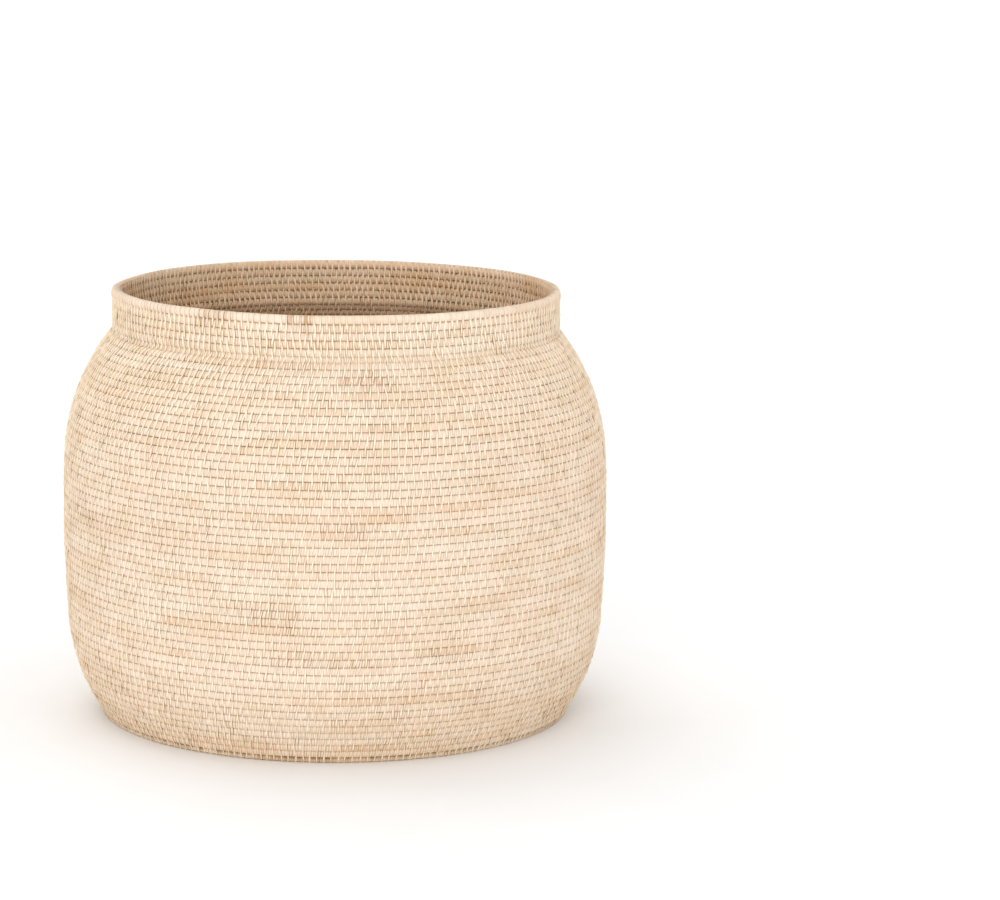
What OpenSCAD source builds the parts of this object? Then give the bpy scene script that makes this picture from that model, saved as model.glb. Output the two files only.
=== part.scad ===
// Round storage basket in coiled rattan.
// Cores of round rattan lie in level courses, and each is bound with split peel to the course below it.
// The origin is on the floor at the middle of the base, and +Z runs up the basket's axis.

/* [Overall] */
// Diameter over the widest course
belly_d = 610; // [560:10:660]
// Courses in the wall, between the foot and the collar
wall_courses = 52; // [49:1:57]
// Courses in the upright collar below the rim
collar_courses = 4; // [3:1:6]

/* [Rattan] */
// Distance from one course to the next
pitch = 8.6; // [8.3:0.1:8.9]
// Diameter of a course with its binding
course_d = 9.3; // [9.1:0.1:9.7]
// Diameter of the core inside a course
core_d = 5.6; // [5:0.1:5.9]
// Diameter of the rim with its binding
rim_d = 10; // [9.5:0.5:11.5]
// Diameter of the core inside the rim
rim_core_d = 6.9; // [6:0.1:7.5]

/* [Outline] */
// Outward lean of the lowest courses, in degrees
foot_lean = 28.5; // [22:0.5:32]
// Last course that has the foot's lean
foot_end = 3; // [1:1:6]
// Course where the belly begins
belly_start = 13; // [11:1:17]
// Outward lean where the belly begins, in degrees
belly_lean = 4; // [1:0.5:8]
// Course where the shoulder begins
shoulder_start = 34; // [30:1:38]
// Inward lean where the shoulder begins, in degrees
shoulder_lean = 2; // [0:0.5:6]
// Inward lean of the last course below the collar, in degrees
neck_lean = 40; // [32:0.5:44]

/* [Base] */
// Gap between the base and the floor
base_lift = 2; // [1:0.5:4]
// Height that wear has taken off the underside of the foot
foot_wear = 0.4; // [0.3:0.1:0.8]

/* [Lengths of rattan] */
// Lengths of core that make up the base
base_lengths = 5; // [3:1:6]
// Lengths of core that make up the wall
wall_lengths = 18; // [12:1:20]

/* [Hidden] */
$fn = 72;
core_colour = "#d8b98c";
peel_colour = "#efd6ae";
rim_colour = "#f3ddb9";
knot_colour = "#e6c798";

// The lean of the wall changes evenly between these courses, and is positive outwards.
leans = [
    [0, foot_lean],
    [foot_end, foot_lean],
    [belly_start, belly_lean],
    [shoulder_start, -shoulder_lean],
    [wall_courses, -neck_lean]
];

// Steps out and up from the foot to each course of the wall, the foot first.
wall_steps = [
    for (
        i = 0, out = 0, up = 0;
        i <= wall_courses;
        out = out + pitch * sin(lookup(i + 0.5, leans)),
        up = up + pitch * cos(lookup(i + 0.5, leans)),
        i = i + 1
    ) [out, up]
];

foot_r = (belly_d - course_d) / 2 - max([for (step = wall_steps) step[0]]);
foot_z = course_d / 2 - foot_wear;
base_z = course_d / 2 + base_lift;
neck_r = foot_r + wall_steps[wall_courses][0];
neck_z = foot_z + wall_steps[wall_courses][1];
// Neighbouring courses are pressed into each other by this much.
squeeze = course_d - pitch;
rim_z = neck_z + collar_courses * pitch + (course_d + rim_d) / 2 - squeeze;

base_courses = floor((foot_r - 1.5 * pitch) / pitch);
foot_at = base_courses + 1;
neck_at = foot_at + wall_courses;
rim_at = neck_at + collar_courses + 1;

// Every course from the knot outwards and up to the rim, as [radius, height, diameter, core diameter].
courses = concat(
    [for (n = [foot_at:-1:1]) [foot_r - n * pitch, base_z, course_d, core_d]],
    [for (step = wall_steps) [foot_r + step[0], foot_z + step[1], course_d, core_d]],
    [for (n = [1:collar_courses]) [neck_r, neck_z + n * pitch, course_d, core_d]],
    [[neck_r, rim_z, rim_d, rim_core_d]]
);

// Name of one numbered part, with two digits.
function part_name(stem, n) = str(stem, "_", n < 10 ? "0" : "", n);

// The course that ends each length of rattan. In the base the courses grow, so its lengths hold fewer of them.
function base_end(n) = round(base_courses * sqrt(n / base_lengths));
function wall_end(n) = foot_at + round(wall_courses * n / wall_lengths);

// The middle of a course, in the half section.
function middle(i) = [courses[i][0], courses[i][1]];

// Everything on the far side of the seam where course i meets its neighbour.
module beyond_seam(i, neighbour) {
    way = middle(neighbour) - middle(i);
    gap = norm(way);
    r = courses[i][2] / 2;
    neighbour_r = courses[neighbour][2] / 2;
    seam = (gap * gap + r * r - neighbour_r * neighbour_r) / (2 * gap);
    translate(middle(i))
        rotate(atan2(way[1], way[0]))
            translate([seam, -course_d])
                square(2 * course_d);
}

// Half section of the peel round courses first to last, hollow where their cores lie.
module binding_section(first, last) {
    difference() {
        union() {
            for (i = [first:last]) translate(middle(i)) circle(d = courses[i][2]);
        }
        for (i = [first:last]) translate(middle(i)) circle(d = courses[i][3]);
        beyond_seam(first, first - 1);
        if (last < rim_at) beyond_seam(last, last + 1);
        translate([0, -course_d]) square([belly_d, course_d]);
    }
}

// Peel wrapped round courses first to last, which it stitches together.
module binding(first, last) {
    rotate_extrude() binding_section(first, last);
}

// One length of rattan core, as a ring for each course that it makes.
module core(first, last) {
    for (i = [first:last]) {
        rotate_extrude() translate(middle(i)) circle(d = courses[i][3]);
    }
}

// Button of twisted peel that the coil starts round.
module start_knot() {
    color(knot_colour) rotate_extrude() intersection() {
        union() {
            translate(middle(0)) circle(d = course_d);
            translate([0, base_z - core_d / 2]) square([middle(0)[0], core_d]);
        }
        difference() {
            square([2 * course_d, 2 * course_d]);
            beyond_seam(0, 1);
        }
    }
}

module base_core(n) {
    color(core_colour) core(base_end(n - 1) + 1, base_end(n));
}

module base_binding(n) {
    color(peel_colour) binding(base_end(n - 1) + 1, base_end(n));
}

// The course that the basket stands on.
module foot_core() {
    color(core_colour) core(foot_at, foot_at);
}

module foot_binding() {
    color(peel_colour) binding(foot_at, foot_at);
}

module wall_core(n) {
    color(core_colour) core(wall_end(n - 1) + 1, wall_end(n));
}

module wall_binding(n) {
    color(peel_colour) binding(wall_end(n - 1) + 1, wall_end(n));
}

module collar_core() {
    color(core_colour) core(neck_at + 1, rim_at - 1);
}

module collar_binding() {
    color(peel_colour) binding(neck_at + 1, rim_at - 1);
}

module rim_core() {
    color(core_colour) core(rim_at, rim_at);
}

module rim_binding() {
    color(rim_colour) binding(rim_at, rim_at);
}

start_knot();
for (n = [1:base_lengths]) {
    base_core(n);
    base_binding(n);
}
foot_core();
foot_binding();
for (n = [1:wall_lengths]) {
    wall_core(n);
    wall_binding(n);
}
collar_core();
collar_binding();
rim_core();
rim_binding();
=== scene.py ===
"""Coiled rattan storage basket: the woven surface, its materials, the floor, the light and the camera.

Every course is a closed ring of split peel wound round its core. A period of the winding is one long stitch,
which also goes round the course below, and two plain turns. Lengths are in metres, in the CAD model's frame.
"""

import math

import bpy
import numpy as np
from mathutils import Matrix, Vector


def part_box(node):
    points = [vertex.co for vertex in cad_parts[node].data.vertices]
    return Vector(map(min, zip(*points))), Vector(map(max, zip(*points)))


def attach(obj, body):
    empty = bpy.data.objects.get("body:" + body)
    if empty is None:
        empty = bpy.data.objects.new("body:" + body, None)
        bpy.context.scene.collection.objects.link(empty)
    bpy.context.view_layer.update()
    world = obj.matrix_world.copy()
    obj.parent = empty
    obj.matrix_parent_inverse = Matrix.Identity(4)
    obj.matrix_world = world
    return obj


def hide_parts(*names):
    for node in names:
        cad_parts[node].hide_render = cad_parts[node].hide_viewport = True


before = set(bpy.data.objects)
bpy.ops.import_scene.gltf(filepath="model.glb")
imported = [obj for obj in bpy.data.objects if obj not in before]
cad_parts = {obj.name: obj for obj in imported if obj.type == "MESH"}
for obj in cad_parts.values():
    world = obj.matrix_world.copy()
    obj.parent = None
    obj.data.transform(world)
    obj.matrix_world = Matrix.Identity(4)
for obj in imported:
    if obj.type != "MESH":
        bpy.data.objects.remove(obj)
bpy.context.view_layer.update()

MM = 0.001
SEED = 20

# ---------------------------------------------------------------- the coil, as part.scad lays it

PITCH = 8.6 * MM
WALL_COURSES = 52
COLLAR_COURSES = 4
LEAN_COURSE = (0, 3, 13, 34, 52)
LEAN_DEGREES = (28.5, 28.5, 4.0, -2.0, -40.0)
BASE_COURSES = 28
BASE_LENGTHS = 5
WALL_LENGTHS = 18


def outer_ring(node):
    """Radius and height of the middle of a CAD node's outermost ring, when all of its rings are level."""
    low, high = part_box(node)
    return high.x - (high.z - low.z) / 2, (high.z + low.z) / 2


foot_r, foot_z = outer_ring("foot_core")
rim_r, rim_z = outer_ring("rim_core")
base_z = outer_ring("base_core_01")[1]

FOOT = BASE_COURSES + 1
NECK = FOOT + WALL_COURSES
RIM = NECK + COLLAR_COURSES + 1


def coil_middles():
    """Radius and height of every course, from the knot outwards and up to the rim."""
    lean = np.radians(np.interp(np.arange(WALL_COURSES) + 0.5, LEAN_COURSE, LEAN_DEGREES))
    wall_r = foot_r + PITCH * np.concatenate([[0], np.cumsum(np.sin(lean))])
    wall_z = foot_z + PITCH * np.concatenate([[0], np.cumsum(np.cos(lean))])
    base_r = foot_r - PITCH * np.arange(FOOT, 0, -1)
    collar_z = wall_z[-1] + PITCH * np.arange(1, COLLAR_COURSES + 1)
    r = np.concatenate([base_r, wall_r, np.full(COLLAR_COURSES, rim_r), [rim_r]])
    z = np.concatenate([np.full(FOOT, base_z), wall_z, collar_z, [rim_z]])
    return np.stack([r, z], 1)


MIDDLE = coil_middles()

# Each course's way up the wall, and its way out through the wall, in the half section.
ALONG = np.gradient(MIDDLE, axis=0)
ALONG /= np.linalg.norm(ALONG, axis=1)[:, None]
OUT = np.stack([ALONG[:, 1], -ALONG[:, 0]], 1)

# No course lies quite in line with its neighbours, apart from the rim.
slip = np.random.default_rng(SEED).normal(0, 0.12 * MM, len(MIDDLE)).clip(-0.25 * MM, 0.25 * MM)
slip[RIM] = 0
MIDDLE = MIDDLE + OUT * slip[:, None]

# Half thickness of each course through the wall and along it. Neighbours sink into each other a little.
HALF_OUT = np.full(len(MIDDLE), 4.35 * MM)
HALF_UP = np.full(len(MIDDLE), PITCH / 2 + 0.1 * MM)
HALF_OUT[RIM] = 4.85 * MM
HALF_UP[RIM] = 4.9 * MM

# ---------------------------------------------------------------- one course of wound peel

WALL_STITCHES = 218
BASE_STITCH_GAP = 8.6 * MM
STITCH_WIDTH = 1.85 * MM
STITCH_HEIGHT = (0.55 * MM, 0.95 * MM)
# What the tallest stitches add to their width and their height.
TALL_EXTRA = 0.35 * MM
# A stitch's crown stands this much higher than its edges, as a factor and a length.
CROWN_SHARE = 1.15
CROWN_EXTRA = 0.1 * MM
# Width of a stitch's rounded edge, as a share of the stitch.
LIP = 0.12
# How much the spacing and the width of stitches vary.
GAP_SPREAD = 0.1
WIDTH_SPREAD = 0.1
# Sideways run of the stitches for each step up the wall, and how it varies by course, round it and by stitch.
LEAN_WALL = 0.09
LEAN_COLLAR = -0.04
LEAN_SPREAD = (0.05, 0.06, 0.06)
LEAN_MOST_AT = math.radians(200)
# How full the sides of a course are: 2 is an ellipse, and more is squarer.
BULGE = 4.4
RIM_BULGE = 2.4

# Places round a plain turn, in degrees, from the top over the outside, under and back up the inside.
TURN = np.radians([90, 56, 26, 0, -22, -42, -58, -74, -90, -115, -145, 180, 145, 118])
ROWS = len(TURN)
# 1 where a plain turn meets the courses above and below, and 0 where it is open.
PRESSED = np.sin(TURN) ** 8
# Rows on the inside of the wall.
INSIDE = np.arange(ROWS) >= 9

# Places round a long stitch, row for row: 0 is in the course's own section, 1 in that of the course below
# and 0.5 between them, with the way out and the way up in half thicknesses.
LONG = np.array([
    (0, 0.00, 1.00), (0, 0.74, 0.93), (0, 0.95, 0.64), (0, 1.00, 0.00),
    (0, 0.98, -0.60), (0.5, 0.93, 0.00), (1, 0.99, 0.55), (1, 1.00, 0.10),
    (1, 0.97, -0.42), (1, 0.10, -1.02),
    (1, -0.95, -0.50), (1, -1.00, 0.25), (0.5, -0.93, 0.00), (0, -0.98, 0.45),
])
# How far each of those rows stands proud, as a share of the stitch's own height.
LONG_PROUD = np.array([0, 0.05, 0.1, 0.15, 0.6, 0.95, 1.0, 0.9, 0.2, 0, 0.75, 1.0, 0.8, 0.3])
# What a tall stitch adds to those, where the courses are packed closest.
TALL_PROUD = np.array([0, 0, 0.05, 0.5, 0.3, 0, 0, 0, 0.5, 0, 0, 0, 0, 0])
# How wide it is on each of those rows, as a share of its full width.
LONG_WIDE = np.array([1.1, 1.1, 1.1, 1.1, 1.0, 0.95, 1.0, 0.9, 0.6, 0.5, 0.7, 1.0, 1.0, 1.1])
# How far along the wall each row lies from the course's middle, in pitches, which sets its slant.
LONG_WAY = np.array([0.5, 0.46, 0.32, 0, -0.3, -0.5, -0.72, -0.95, -1.21, -1.5, -1.25, -0.87, -0.5, 0.22])

# How deep in a crevice each row is, from 0 in the open to 1, which sets how much painted shade it gets.
TURN_SHADE = np.array([1, 0.28, 0.02, 0, 0.01, 0.06, 0.3, 0.7, 1, 0.8, 0.2, 0, 0.2, 0.6])
LONG_SHADE = np.array([1, 0.4, 0.04, 0, 0.02, 0.05, 0, 0, 0.15, 1, 0.35, 0, 0.1, 0.2])
# How much of a stitch's pale colour each row has. Its lower part is the outermost peel, which is kept clean.
LONG_PALE = np.array([0, 0, 0, 0.15, 0.8, 1, 1, 0.9, 0.4, 0.1, 0.3, 0.4, 0.4, 0.1])
# What a tall stitch adds to that.
TALL_PALE = np.array([0, 0, 0.2, 0.7, 0.2, 0, 0, 0.1, 0.4, 0, 0, 0, 0, 0])

# The eight columns of one period: the stitch's two edges doubled, its crown, then two plain turns.
COLUMNS = 8
IS_LONG = np.array([0, 1, 1, 1, 0, 0, 0, 0], bool)
# Columns on an edge of the stitch, which is sharp.
EDGE = np.array([1, 1, 0, 1, 1, 0, 0, 0], bool)
# How far each plain column stands out of the section.
COLUMN_LIFT = np.array([-0.2, 0, 0, 0, -0.3, 0.05, -0.14, 0.05]) * MM
# How near each column is to a seam between strips, where dirt gathers and a thin shadow is painted.
COLUMN_SEAM = np.array([0.9, 0.62, 0, 0.72, 1, 0, 0.9, 0])
# Which strip each column belongs to: the stitch, the first plain turn or the second.
STRIPS = 3
STRIP = np.array([0, 0, 0, 0, 1, 1, 2, 2])


def bulged(angle, bulge):
    """Point on a section with full sides, in half thicknesses."""
    c, s = np.cos(angle), np.sin(angle)
    return np.stack([np.sign(c) * abs(c) ** (2 / bulge), np.sign(s) * abs(s) ** (2 / bulge)], -1)


def in_section(i, out, up):
    """Radius and height of points given in half thicknesses out and up in course i's section."""
    shape = np.broadcast(out, up).shape
    out = np.broadcast_to(out, shape)[..., None]
    up = np.broadcast_to(up, shape)[..., None]
    return MIDDLE[i] + out * HALF_OUT[i] * OUT[i] + up * HALF_UP[i] * ALONG[i]


def long_path(i, proud, tall):
    """Radius and height of the long stitches of course i, one for each height in proud."""
    lift = proud[:, None] * (LONG_PROUD + tall * TALL_PROUD)
    side = np.sign(LONG[:, 1])
    own = in_section(i, LONG[:, 1] + side * lift / HALF_OUT[i], LONG[:, 2])
    low = in_section(i - 1, LONG[:, 1] + side * lift / HALF_OUT[i - 1], LONG[:, 2])
    share = LONG[:, 0][None, :, None]
    return own * (1 - share) + low * share


# Bends of the whole basket, as (millimetres, waves round it, phase, twist for each metre of height).
BENDS = ((0.36, 2, 1.6, 0), (0.2, 3, 1.0, 4.0), (0.1, 5, -1.0, 9.0), (0.1, 7, 0, 14.0))
# Rise and fall of the courses, in the same way.
SINKS = ((0.15, 4, 0, 20.0), (0.15, 9, 0, -12.0))
# The mouth has sunk a little on its left, at the back.
SLUMP = 1.8 * MM
SLUMP_TURN = math.radians(162)
SLUMP_WIDE = math.radians(15)
SLUMP_FROM = 0.42


def waves(kinds, turn, z):
    """Sum of waves round the basket, in metres."""
    return MM * sum(size * np.cos(count * turn + phase + twist * z) for size, count, phase, twist in kinds)


def warp(co):
    """The slight unevenness of a basket made by hand. It dies out towards the axis and the floor."""
    x, y, z = co.T
    turn = np.arctan2(y, x)
    reach = np.hypot(x, y)
    bend = waves(BENDS, turn, z) * np.clip(reach / 0.25, 0, 1)
    sink = waves(SINKS, turn, z) * np.clip(z / 0.05, 0, 1)
    slump = np.exp(-(((turn - SLUMP_TURN) / SLUMP_WIDE) ** 2)) * np.clip((z - SLUMP_FROM) / 0.05, 0, 1)
    sink -= SLUMP * slump
    share = 1 + bend / np.maximum(reach, 1 * MM)
    return np.stack([x * share, y * share, np.maximum(z + sink, 0)], 1)


# How often a strip is tan, and how many turns a tan strip and a clean one last.
TAN_CHANCE = 0.22
TAN_RUN = 8
CLEAN_RUN = 14


def lengths_of_peel(count, rng):
    """Tone and blush for each period: one strip of peel lasts for many turns, then the next one begins."""
    tone = np.zeros(count)
    blush = np.zeros(count)
    at = 0
    while at < count:
        tan = rng.random() < TAN_CHANCE
        run = 2 + int(rng.exponential(TAN_RUN if tan else CLEAN_RUN))
        tone[at:at + run] = rng.uniform(0.22, 0.5) if tan else 0.4 * rng.beta(1.6, 4.5)
        blush[at:at + run] = rng.normal(0.5, 0.2)
        at += run
    faded = np.convolve(np.pad(tone, 2, "wrap"), (0.1, 0.2, 0.4, 0.2, 0.1), "valid")
    return faded, blush


# Brown marks in a course on average, and how many of them are dark and short.
SKIN_MARKS = 1.3
DARK_CHANCE = 0.16
DARK_RUN = 1.5
LIGHT_RUN = 6


def skin_left(count, rng):
    """Brown skin left on the peel, for each period, strip and row: short runs, with clean turns among them."""
    stain = np.zeros((count, STRIPS, ROWS))
    for _ in range(rng.poisson(SKIN_MARKS)):
        dark = rng.random() < DARK_CHANCE
        run = 1 + int(rng.exponential(DARK_RUN if dark else LIGHT_RUN))
        depth = rng.uniform(0.4, 0.85) if dark else rng.uniform(0.05, 0.2)
        at = rng.integers(count)
        for k in range(at, at + run):
            top = rng.integers(0, 6)
            rows = slice(top, top + rng.integers(2, 7))
            hit = rng.uniform(0.3, 1, STRIPS) * (rng.random(STRIPS) < 0.55)
            stain[k % count, :, rows] = (depth * hit)[:, None]
    return stain


def tallness(i):
    """How tall the stitches of course i stand: 0 on the belly, and 1 on the collar, where they are closest."""
    return np.interp(i, (NECK - 18, NECK - 9, NECK, NECK + 1), (0, 0.6, 0.8, 1))


def lowness(i):
    """1 at the foot, and 0 on the base and from the belly up."""
    return np.interp(i, (FOOT, FOOT + 12), (1, 0)) * (i >= FOOT)


def stitch_count(i):
    """Long stitches in course i: the same number all the way up the wall, and fewer on the base."""
    return WALL_STITCHES if i >= FOOT else max(6, round(2 * math.pi * MIDDLE[i, 0] / BASE_STITCH_GAP))


def spacing(i, rng):
    """Angles where the periods of course i start, how long they are, and where each one's columns lie."""
    count = stitch_count(i)
    gap = np.clip(1 + GAP_SPREAD * rng.standard_normal(count), 0.72, 1.3)
    gap *= 2 * math.pi / gap.sum()
    start = rng.uniform(0, 2 * math.pi) + np.cumsum(gap) - gap
    width = np.minimum((STITCH_WIDTH + TALL_EXTRA * tallness(i)) / MIDDLE[i, 0], 0.4 * gap)
    width = width * (1 + WIDTH_SPREAD * rng.standard_normal(count)).clip(0.8, 1.25)
    lip = LIP * width
    rest = gap - width
    split = rng.uniform(0.44, 0.56, count)
    steps = [
        0 * gap, lip, width / 2, width - lip, width,
        width + rest * split / 2, width + rest * split, width + rest * (1 + split) / 2,
    ]
    return start, gap, start[:, None] + np.stack(steps, 1)


def wound(i, start, turn, rng):
    """Vertices of course i, as (period, column, row)."""
    count = len(start)
    r = MIDDLE[i, 0]
    tall = tallness(i)
    proud = rng.uniform(*STITCH_HEIGHT, count) + TALL_EXTRA * tall
    section = bulged(TURN, RIM_BULGE if i == RIM else BULGE)
    section[np.abs(section) < 1e-6] = 0
    plain = in_section(i, section[:, 0], section[:, 1])
    lift = COLUMN_LIFT + np.abs(rng.normal(0, 0.05, (count, COLUMNS))) * MM * (COLUMN_LIFT > 0)
    away = section[:, 0] / np.maximum(np.abs(section).max(1), 0.1)
    points = plain[None, None] + (lift[..., None] * away * (1 - PRESSED))[..., None] * OUT[i]
    points[:, [1, 3]] = long_path(i, proud, tall)[:, None]
    points[:, 2] = long_path(i, proud * CROWN_SHARE + CROWN_EXTRA, tall)

    # Each stitch leans, and its inside leans the other way.
    by_course, around, by_stitch = LEAN_SPREAD
    slant = rng.normal(LEAN_COLLAR if i > NECK else LEAN_WALL, by_course) + around * np.cos(start - LEAN_MOST_AT)
    slant = (slant + by_stitch * rng.standard_normal(count))[:, None]
    lean = slant * LONG_WAY * PITCH / r
    plain_lean = slant * (np.clip(LONG_WAY, -0.5, 0.5) * PITCH / r)
    angle = np.repeat(turn[:, :, None], ROWS, 2)
    centre = turn[:, 2, None]
    for edge in (1, 3):
        angle[:, edge] = centre + (turn[:, edge, None] - centre) * LONG_WIDE
    angle[:, IS_LONG] += np.where(INSIDE, -lean, lean)[:, None]
    angle[:, ~IS_LONG] += np.where(INSIDE, -plain_lean, plain_lean)[:, None]
    reach, height = points[..., 0], points[..., 1]
    return np.stack([reach * np.cos(angle), reach * np.sin(angle), height], -1)


def ring_quads(columns):
    """Faces that close columns of ROWS vertices into one ring."""
    c = np.arange(columns)[:, None]
    k = np.arange(ROWS)[None]
    next_c, next_k = (c + 1) % columns, (k + 1) % ROWS
    corners = (c * ROWS + k, c * ROWS + next_k, next_c * ROWS + next_k, next_c * ROWS + k)
    return np.stack(np.broadcast_arrays(*corners), -1).reshape(-1, 4)


# Tone above which a strip counts as tanned.
TAN_FROM = 0.25
# Least and greatest strength of the painted shade in a crevice, and how many periods have the greatest.
DEPTH_LEAST = 0.15
DEPTH_MOST = 1.15
BLACK_SHARE = 0.015
# The rim is wrapped closer and kept cleaner, so it has only this share of the wall's values: its tone, its dirt
# and its painted crevice shade.
RIM_TONE = 0.3
RIM_SHADE = 0.5
RIM_SOIL = 0.2
# How pale the plain turns are outside on the rim, and at the foot, where the extra paleness is painted light.
RIM_PALE = 0.3
FOOT_PAINTED_LIGHT = 0.28
# The inside is painted browner than the outside by this much, as painted shade inside the basket.
INSIDE_SHADE_TONE = 0.6
INSIDE_SHADE_BLUSH = 0.1
# Steps in the grain's own coordinates, from row to row and from course to course.
GRAIN_ROW = 2.0 * MM
GRAIN_COURSE = 0.031


def course_mesh(i, rng, marks=()):
    """Vertices, faces and the weave's values for course i."""
    tall, low = tallness(i), lowness(i)
    start, gap, turn = spacing(i, rng)
    count = len(start)
    columns = count * COLUMNS
    co = wound(i, start, turn, rng)

    tone, blush = lengths_of_peel(count, rng)
    tanned = np.clip(tone - TAN_FROM, 0, 0.4)
    # Toward the collar the tone is darkened a little, as painted shade.
    tone = tone[:, None] * (RIM_TONE if i == RIM else 1) + 0.06 * tall + 0.32 * low
    tone = tone + rng.normal(0, 0.06, (count, STRIPS))
    blush = blush[:, None] + rng.normal(0, 0.14, (count, STRIPS)) + 0.25 * low

    # The painted crevice shade is darker in some stretches than in others, and nearly black in a few periods.
    depth = 0.45 + 0.2 * low + 0.3 * tanned
    depth = depth + 0.12 * np.cos(start * rng.integers(1, 4) + rng.uniform(0, 6.3)) + 0.1 * tall
    depth = depth + rng.normal(0, 0.08) + 0.22 * rng.standard_normal(count)
    depth[rng.random(count) < BLACK_SHARE] = DEPTH_MOST
    depth = np.clip(depth, DEPTH_LEAST, DEPTH_MOST)
    # Painted shade in the crevices, row by row.
    shade = np.where(IS_LONG[:, None], LONG_SHADE, TURN_SHADE) * depth[:, None, None]

    pale = np.zeros((count, COLUMNS, ROWS))
    pale[:, IS_LONG] = LONG_PALE + tall * TALL_PALE
    # The plain turns at the foot are made paler, as painted light.
    pale[:, ~IS_LONG] = FOOT_PAINTED_LIGHT * low
    if i == RIM:
        pale[:, IS_LONG] *= LONG[:, 0] > 0
        pale[:, ~IS_LONG] = RIM_PALE * ~INSIDE
        shade *= RIM_SHADE
    grain = np.stack([
        np.broadcast_to(turn[:, :, None] * MIDDLE[i, 0], shade.shape),
        np.broadcast_to(np.arange(ROWS) * GRAIN_ROW, shade.shape),
        np.full(shade.shape, i * GRAIN_COURSE),
    ], -1)

    stain = skin_left(count, rng)
    soil = rng.beta(1.5, 4, (count, STRIPS)) + 0.05 * tall + 0.25 * low + 0.35 * tanned[:, None]
    soil = np.clip(soil, 0, 1) * (RIM_SOIL if i == RIM else 1)
    middle = start + gap / 2
    for course, degrees, periods, strength in marks:
        if course == i:
            off = (middle - math.radians(degrees) + math.pi) % (2 * math.pi) - math.pi
            near = np.abs(off) < periods * math.pi / count
            hit = rng.uniform(0.4, 1, (near.sum(), STRIPS)) * (rng.random((near.sum(), STRIPS)) < 0.7)
            stain[near] = strength * hit[..., None]
            soil[near] = rng.uniform(0.15, 0.8, (near.sum(), STRIPS))

    def on_faces(by_strip, inside=0.0):
        """One value for each face, given one for each strip, with something added on the inside."""
        values = np.repeat(by_strip[:, STRIP].reshape(-1), ROWS)
        return np.clip(values + inside * np.tile(INSIDE, columns), 0, 1)

    return {
        "co": co.reshape(-1, 3),
        "quads": ring_quads(columns),
        "column": np.repeat(np.arange(columns), ROWS),
        "edge": np.repeat(np.tile(EDGE, count), ROWS),
        "shade": shade.reshape(-1),
        "pale": pale.reshape(-1),
        "seam": np.repeat(np.tile(COLUMN_SEAM, count), ROWS),
        "grain": grain.reshape(-1, 3),
        "tone": on_faces(tone, INSIDE_SHADE_TONE),
        "blush": on_faces(blush, INSIDE_SHADE_BLUSH),
        "stain": np.clip(stain[:, STRIP].reshape(-1), 0, 1),
        "soil": on_faces(soil),
    }


def new_mesh(name, co, quads):
    """A mesh of quads, smooth all over."""
    mesh = bpy.data.meshes.new(name)
    mesh.vertices.add(len(co))
    mesh.vertices.foreach_set("co", co.ravel())
    mesh.loops.add(quads.size)
    mesh.loops.foreach_set("vertex_index", quads.ravel())
    mesh.polygons.add(len(quads))
    mesh.polygons.foreach_set("loop_start", np.arange(len(quads)) * 4)
    mesh.update(calc_edges=True)
    mesh.polygons.foreach_set("use_smooth", np.ones(len(quads), bool))
    return mesh


def set_values(mesh, name, kind, domain, values):
    """Writes one value a vertex, edge or face as a named attribute."""
    field = "vector" if kind == "FLOAT_VECTOR" else "value"
    mesh.attributes.new(name, kind, domain).data.foreach_set(field, np.ascontiguousarray(values).ravel())


def show(mesh, material, replaced):
    """Puts a mesh in the scene as a piece of the basket, in place of one CAD node."""
    mesh.materials.append(material)
    piece = bpy.data.objects.new(mesh.name, mesh)
    bpy.context.scene.collection.objects.link(piece)
    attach(piece, "root")
    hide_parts(replaced)


def weave(name, first, last, material, replaced, marks=()):
    """One shown piece: the wound peel of courses first to last, in place of their CAD binding."""
    parts = [course_mesh(i, np.random.default_rng(SEED + 100 * i), marks) for i in range(first, last + 1)]

    def join(key):
        return np.concatenate([p[key] for p in parts])

    starts = np.cumsum([0] + [len(p["co"]) for p in parts])
    quads = np.concatenate([p["quads"] + start for p, start in zip(parts, starts)])
    mesh = new_mesh(name, warp(join("co")), quads)
    for key in ("shade", "pale", "seam"):
        set_values(mesh, key, "FLOAT", "POINT", join(key))
    set_values(mesh, "grain", "FLOAT_VECTOR", "POINT", join("grain"))
    for key in ("tone", "blush", "stain", "soil"):
        set_values(mesh, key, "FLOAT", "FACE", join(key))

    # The edges of each long stitch are sharp all along it.
    ends = np.zeros(2 * len(mesh.edges), np.int32)
    mesh.edges.foreach_get("vertices", ends)
    a, b = ends.reshape(-1, 2).T
    column, edge = join("column"), join("edge")
    sharp = edge[a] & edge[b] & (column[a] == column[b])
    set_values(mesh, "sharp_edge", "BOOLEAN", "EDGE", sharp)
    show(mesh, material, replaced)


# ---------------------------------------------------------------- materials

def fill(tree, socket, value):
    """Links value to a socket if it is one itself, and sets it otherwise."""
    if isinstance(value, bpy.types.NodeSocket):
        tree.links.new(value, socket)
    else:
        socket.default_value = value


def node(tree, kind, **inputs):
    """A new node, with the given sockets set or linked."""
    made = tree.nodes.new(kind)
    for key, value in inputs.items():
        fill(tree, made.inputs[key], value)
    return made


def attribute(tree, name, output="Fac"):
    """The mesh's own value of this name."""
    made = tree.nodes.new("ShaderNodeAttribute")
    made.attribute_name = name
    return made.outputs[output]


def noise(tree, source, detail, scale=1.0, along=None):
    """Noise from source, which is first scaled along its own axes where that is asked for."""
    if along:
        source = node(tree, "ShaderNodeMapping", Vector=source, Scale=along).outputs[0]
    return node(tree, "ShaderNodeTexNoise", Vector=source, Scale=scale, Detail=detail).outputs[0]


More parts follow.
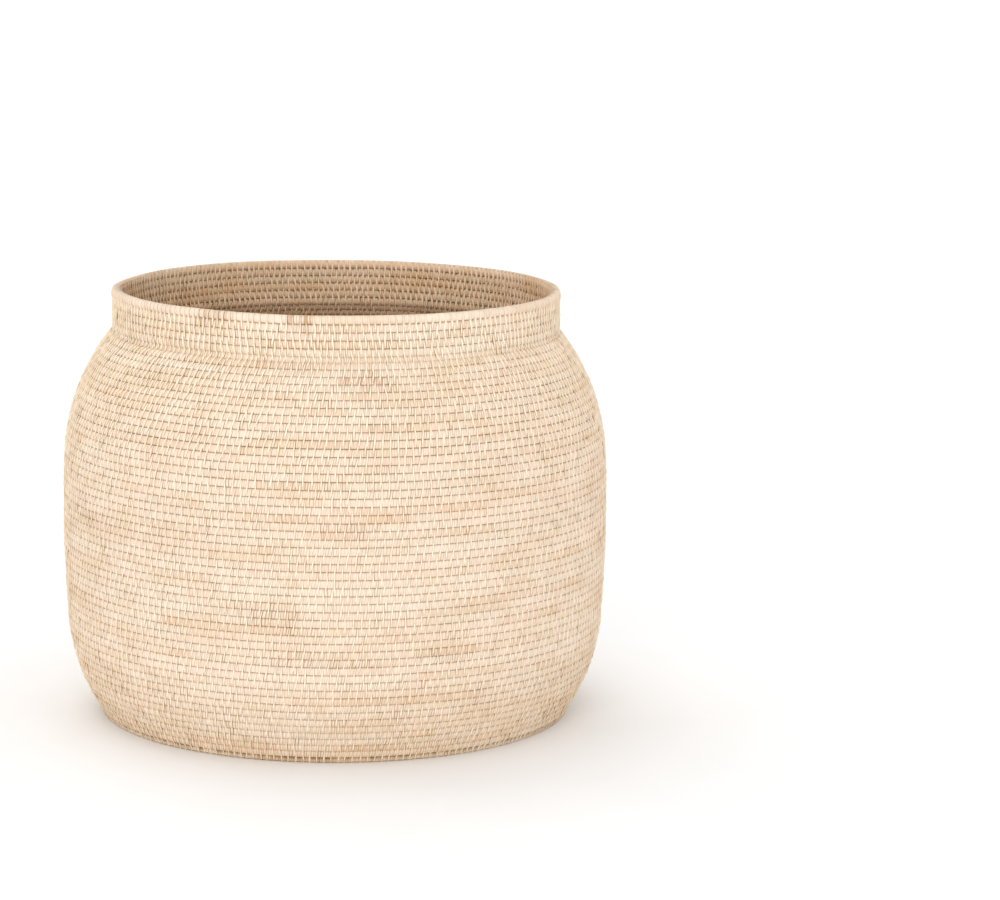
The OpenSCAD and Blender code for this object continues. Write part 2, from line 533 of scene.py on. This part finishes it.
def blended(tree, share, a, b, kind="MIX"):
    """Colour a turning into colour b by share."""
    made = tree.nodes.new("ShaderNodeMix")
    made.data_type = "RGBA"
    made.blend_type = kind
    fill(tree, made.inputs[0], share)
    fill(tree, made.inputs[6], a)
    fill(tree, made.inputs[7], b)
    return made.outputs[2]


def multiplied(tree, colour, by):
    """Colour times another colour or a grey."""
    return blended(tree, 1.0, colour, by, "MULTIPLY")


def tinted(tree, colour, share, tint):
    """Colour multiplied by a share of tint."""
    return multiplied(tree, colour, blended(tree, share, (1, 1, 1, 1), (*tint, 1)))


def ramp(tree, value, stops):
    """Colour or grey along value, through (place, colour) stops."""
    made = tree.nodes.new("ShaderNodeValToRGB")
    band = made.color_ramp
    while len(band.elements) < len(stops):
        band.elements.new(0.5)
    for element, (place, colour) in zip(band.elements, stops):
        element.position = place
        element.color = (*colour, 1) if isinstance(colour, tuple) else (colour, colour, colour, 1)
    tree.links.new(value, made.inputs[0])
    return made.outputs[0]


def maths(tree, operation, *values):
    """One sum on numbers or sockets."""
    made = tree.nodes.new("ShaderNodeMath")
    made.operation = operation
    for socket, value in zip(made.inputs, values):
        fill(tree, socket, value)
    return made.outputs[0]


def new_material(name):
    """A material, its node tree and its shader."""
    material = bpy.data.materials.new(name)
    material.use_nodes = True
    return material, material.node_tree, material.node_tree.nodes["Principled BSDF"]


# The colours of peel, from clean to tanned, and its blushes.
PALE = (0.825, 0.69, 0.56)
BLOND = (0.785, 0.625, 0.49)
TAN = (0.775, 0.565, 0.385)
GOLDEN = (0.94, 0.87, 0.75)
PINK = (0.815, 0.62, 0.50)
ASH = (0.775, 0.68, 0.575)
BROWN = (0.48, 0.25, 0.11)
CREVICE_SHADE = (0.31, 0.25, 0.11)
SEAM_DIRT_AND_SHADE = (0.46, 0.36, 0.20)
CREAM = (0.945, 0.83, 0.645)


def peel_material(name, gloss):
    """Split rattan peel: each strip has its own tone, with fine fibres along it, dirt and a painted shadow where
    strips meet, and painted shade in its crevices.
    """
    material, tree, shader = new_material(name)
    tone = attribute(tree, "tone")
    soil = attribute(tree, "soil")
    grain = attribute(tree, "grain", "Vector")
    fibres = noise(tree, grain, 3.0, along=(1300, 90, 40))
    threads = noise(tree, grain, 1.0, along=(620, 45, 40))
    patches = noise(tree, grain, 2.0, along=(17, 60, 15))

    # The strip's own colour.
    own = ramp(tree, tone, ((0.0, PALE), (0.35, BLOND), (1.0, TAN)))
    hue = ramp(tree, attribute(tree, "blush"), ((0.15, ASH), (0.5, BLOND), (0.85, PINK)))
    colour = blended(tree, 0.38, own, hue)
    colour = blended(tree, maths(tree, "MULTIPLY", attribute(tree, "pale"), 0.68), colour, (*CREAM, 1))
    colour = multiplied(tree, colour, ramp(tree, tone, ((0.3, 1.0), (0.9, GOLDEN))))

    # Unevenness along the course, and fibres.
    uneven = ((0.3, (0.95, 0.90, 0.83)), (0.5, (0.99, 0.985, 0.975)), (0.7, (1.02, 1.03, 1.05)))
    colour = multiplied(tree, colour, ramp(tree, patches, uneven))
    colour = multiplied(tree, colour, ramp(tree, fibres, ((0.3, 0.85), (0.55, 1.0), (0.8, 1.06))))

    # Brown skin, painted shade in the crevices, and dirt with a painted shadow along the seams.
    threaded = ramp(tree, threads, ((0.46, 0.12), (0.56, 1.0)))
    colour = blended(tree, maths(tree, "MULTIPLY", attribute(tree, "stain"), threaded), colour, (*BROWN, 1))
    # Painted shade: the rows deep in the crevices between courses are darkened.
    colour = tinted(tree, colour, attribute(tree, "shade"), CREVICE_SHADE)
    # Dirt and a painted shadow along the seams between strips; even a clean strip keeps some of the painted
    # shadow.
    near_seam = maths(tree, "MULTIPLY_ADD", soil, 0.3, attribute(tree, "seam"))
    near_seam = ramp(tree, near_seam, ((0.72, 0.0), (1.0, 1.0)))
    dirt_and_shade = maths(tree, "MULTIPLY", near_seam, maths(tree, "MULTIPLY_ADD", soil, 0.85, 0.28))
    colour = tinted(tree, colour, dirt_and_shade, SEAM_DIRT_AND_SHADE)
    tree.links.new(colour, shader.inputs["Base Color"])

    rough = ramp(tree, fibres, ((0.2, gloss + 0.16), (0.8, gloss)))
    tree.links.new(rough, shader.inputs["Roughness"])
    shader.inputs["Specular IOR Level"].default_value = 0.32
    bump = node(tree, "ShaderNodeBump", Strength=0.35, Distance=0.25 * MM, Height=fibres)
    tree.links.new(bump.outputs[0], shader.inputs["Normal"])
    return material


def core_material():
    """Bare rattan core, with pores along it."""
    material, tree, shader = new_material("rattan_core")
    place = node(tree, "ShaderNodeNewGeometry").outputs["Position"]
    pores = noise(tree, place, 3.0, scale=900.0)
    bands = noise(tree, place, 2.0, scale=24.0)
    wood = ramp(tree, bands, ((0.35, (0.62, 0.41, 0.22)), (0.65, (0.76, 0.55, 0.33))))
    fleck = ramp(tree, pores, ((0.35, 0.7), (0.6, 1.0)))
    tree.links.new(multiplied(tree, wood, fleck), shader.inputs["Base Color"])
    tree.links.new(ramp(tree, pores, ((0.3, 0.8), (0.7, 0.6))), shader.inputs["Roughness"])
    bump = node(tree, "ShaderNodeBump", Strength=0.3, Distance=0.2 * MM, Height=pores)
    tree.links.new(bump.outputs[0], shader.inputs["Normal"])
    return material


def floor_material():
    """Matt white studio paper."""
    material, tree, shader = new_material("studio_paper")
    place = node(tree, "ShaderNodeNewGeometry").outputs["Position"]
    paper = ramp(tree, noise(tree, place, 3.0, scale=5.0), ((0.3, (0.87, 0.87, 0.869)), (0.7, (0.89, 0.89, 0.89))))
    tree.links.new(paper, shader.inputs["Base Color"])
    shader.inputs["Roughness"].default_value = 0.75
    shader.inputs["Specular IOR Level"].default_value = 0.2
    return material


split_peel = peel_material("split_peel", 0.44)
rim_peel = peel_material("rim_peel", 0.38)
rattan_core = core_material()

for name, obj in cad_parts.items():
    if "core" in name:
        obj.data.materials.clear()
        obj.data.materials.append(rattan_core)

# ---------------------------------------------------------------- the basket's pieces

# Turns that kept a dark skin, as (course, degrees round the basket, periods, depth of colour).
MARKS = (
    (RIM, 261, 4, 0.9), (RIM - 1, 262, 2, 0.5), (RIM, 239, 6, 0.35), (RIM - 1, 237, 5, 0.2),
    (RIM - 7, 278, 7, 0.5), (RIM - 8, 277, 8, 0.6), (RIM - 9, 279, 5, 0.4),
    (RIM - 8, 232, 9, 0.18), (RIM - 6, 236, 7, 0.15),
    (RIM - 26, 273, 8, 0.38), (RIM - 27, 271, 6, 0.34), (RIM - 30, 236, 5, 0.2),
    (RIM - 36, 256, 8, 0.2), (RIM - 37, 257, 9, 0.34), (RIM - 38, 255, 8, 0.26),
    (RIM - 42, 294, 7, 0.38), (RIM - 43, 293, 5, 0.3), (RIM - 42, 266, 12, 0.26), (RIM - 43, 270, 16, 0.3),
)


def base_end(n):
    """The last course of the base's length n, as part.scad ends it."""
    return round(BASE_COURSES * math.sqrt(n / BASE_LENGTHS))


def wall_end(n):
    """The last course of the wall's length n."""
    return FOOT + math.floor(WALL_COURSES * n / WALL_LENGTHS + 0.5)


for n in range(1, BASE_LENGTHS + 1):
    first, last = base_end(n - 1) + 1, base_end(n)
    weave(f"base_weave_{n:02d}", first, last, split_peel, f"base_binding_{n:02d}")
weave("foot_weave", FOOT, FOOT, split_peel, "foot_binding")
for n in range(1, WALL_LENGTHS + 1):
    first, last = wall_end(n - 1) + 1, wall_end(n)
    weave(f"wall_weave_{n:02d}", first, last, split_peel, f"wall_binding_{n:02d}", MARKS)
weave("collar_weave", NECK + 1, RIM - 1, split_peel, "collar_binding", MARKS)
weave("rim_weave", RIM, RIM, rim_peel, "rim_binding", MARKS)


KNOT_RINGS = 22
KNOT_SECTORS = 96
KNOT_STRANDS = 7
KNOT_TWIST = 1.9
KNOT_RELIEF = 0.7 * MM


def start_knot():
    """The button of twisted peel in the middle of the base."""
    low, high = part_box("start_knot")
    radius = high.x + 0.3 * MM
    half = (high.z - low.z) / 2
    down = np.linspace(0, math.pi, KNOT_RINGS)[:, None]
    turn = np.linspace(0, 2 * math.pi, KNOT_SECTORS, endpoint=False)[None]
    swirl = np.abs(np.sin(KNOT_STRANDS / 2 * (turn + KNOT_TWIST * np.sin(down))))
    lift = KNOT_RELIEF * (swirl - 0.5) * np.sin(down)
    reach = (radius - 0.5 * MM) * np.sin(down) ** 0.7 + lift
    x, y = reach * np.cos(turn), reach * np.sin(turn)
    z = base_z + half * np.sign(np.cos(down)) * np.abs(np.cos(down)) ** 0.8 + lift * np.cos(down)
    co = np.stack(np.broadcast_arrays(x, y, z), -1).reshape(-1, 3)
    r, s = np.arange(KNOT_RINGS - 1)[:, None], np.arange(KNOT_SECTORS)[None]
    after = (s + 1) % KNOT_SECTORS
    this_ring, next_ring = r * KNOT_SECTORS, (r + 1) * KNOT_SECTORS
    corners = (this_ring + s, next_ring + s, next_ring + after, this_ring + after)
    quads = np.stack(np.broadcast_arrays(*corners), -1).reshape(-1, 4)
    mesh = new_mesh("start_knot_twist", co, quads)
    # Painted shade in the hollows between the knot's twisted strands.
    shade = np.broadcast_to(0.8 * (1 - swirl) ** 2, (KNOT_RINGS, KNOT_SECTORS))
    set_values(mesh, "shade", "FLOAT", "POINT", shade)
    set_values(mesh, "grain", "FLOAT_VECTOR", "POINT", co)
    for key in ("pale", "seam"):
        set_values(mesh, key, "FLOAT", "POINT", np.zeros(len(co)))
    for key, value in (("tone", 0.4), ("blush", 0.5), ("stain", 0.0), ("soil", 0.0)):
        set_values(mesh, key, "FLOAT", "FACE", np.full(len(mesh.polygons), value))
    show(mesh, split_peel, "start_knot")


start_knot()

# ---------------------------------------------------------------- floor, light and camera

FLOOR_REACH = 30.0
SUN_WIDTH = math.radians(40)


def floor():
    """A plain level floor."""
    co = FLOOR_REACH * np.array([(-1, -1, 0), (1, -1, 0), (1, 1, 0), (-1, 1, 0)])
    mesh = new_mesh("studio_floor", co, np.array([[0, 1, 2, 3]]))
    mesh.materials.append(floor_material())
    piece = bpy.data.objects.new("studio_floor", mesh)
    bpy.context.scene.collection.objects.link(piece)


def soft_sun(name, strength, tilt, turn, colour):
    """A broad sun that shines down at tilt degrees from overhead, turned about the vertical."""
    lamp = bpy.data.lights.new(name, "SUN")
    lamp.energy = strength
    lamp.angle = SUN_WIDTH
    lamp.color = colour
    sun = bpy.data.objects.new(name, lamp)
    sun.rotation_euler = (math.radians(tilt), 0, math.radians(turn))
    bpy.context.scene.collection.objects.link(sun)


def light():
    """Even white surroundings, with a broad soft sun and a weak fill from the front, and one sun from behind."""
    scene = bpy.context.scene
    world = bpy.data.worlds.new("studio")
    world.use_nodes = True
    world.node_tree.nodes["Background"].inputs["Color"].default_value = (1, 1, 1, 1)
    world.node_tree.nodes["Background"].inputs["Strength"].default_value = 1.0
    scene.world = world
    soft_sun("key", 1.05, 76, -10, (1.0, 0.99, 0.97))
    soft_sun("fill", 0.16, 88, 0, (1.0, 0.98, 0.95))
    soft_sun("back", 0.5, 30, -150, (1.0, 1.0, 1.0))
    scene.view_settings.view_transform = "Standard"
    scene.view_settings.look = "None"


CAMERA_BACK = 3.891
CAMERA_UP = 0.976
CAMERA_YAW = math.radians(2.72)
CAMERA_DOWN = math.radians(9.93)
CAMERA_ROLL = math.radians(0.71)
CAMERA_LENS = 126.0


def camera():
    """Stands in front of the basket and looks slightly down, with the basket left of the middle."""
    ahead = np.array([
        math.sin(CAMERA_YAW) * math.cos(CAMERA_DOWN),
        math.cos(CAMERA_YAW) * math.cos(CAMERA_DOWN),
        -math.sin(CAMERA_DOWN),
    ])
    level = np.array([math.cos(CAMERA_YAW), -math.sin(CAMERA_YAW), 0])
    up = np.cross(level, ahead)
    right = level * math.cos(CAMERA_ROLL) + up * math.sin(CAMERA_ROLL)
    top = -level * math.sin(CAMERA_ROLL) + up * math.cos(CAMERA_ROLL)
    place = Matrix.Identity(4)
    for axis, way in enumerate((right, top, -ahead)):
        for row in range(3):
            place[row][axis] = way[row]
    place.translation = (0, -CAMERA_BACK, CAMERA_UP)
    data = bpy.data.cameras.new("camera")
    data.lens = CAMERA_LENS
    data.sensor_width = 36.0
    data.clip_end = 100.0
    eye = bpy.data.objects.new("camera", data)
    eye.matrix_world = place
    bpy.context.scene.collection.objects.link(eye)
    bpy.context.scene.camera = eye


floor()
light()
camera()
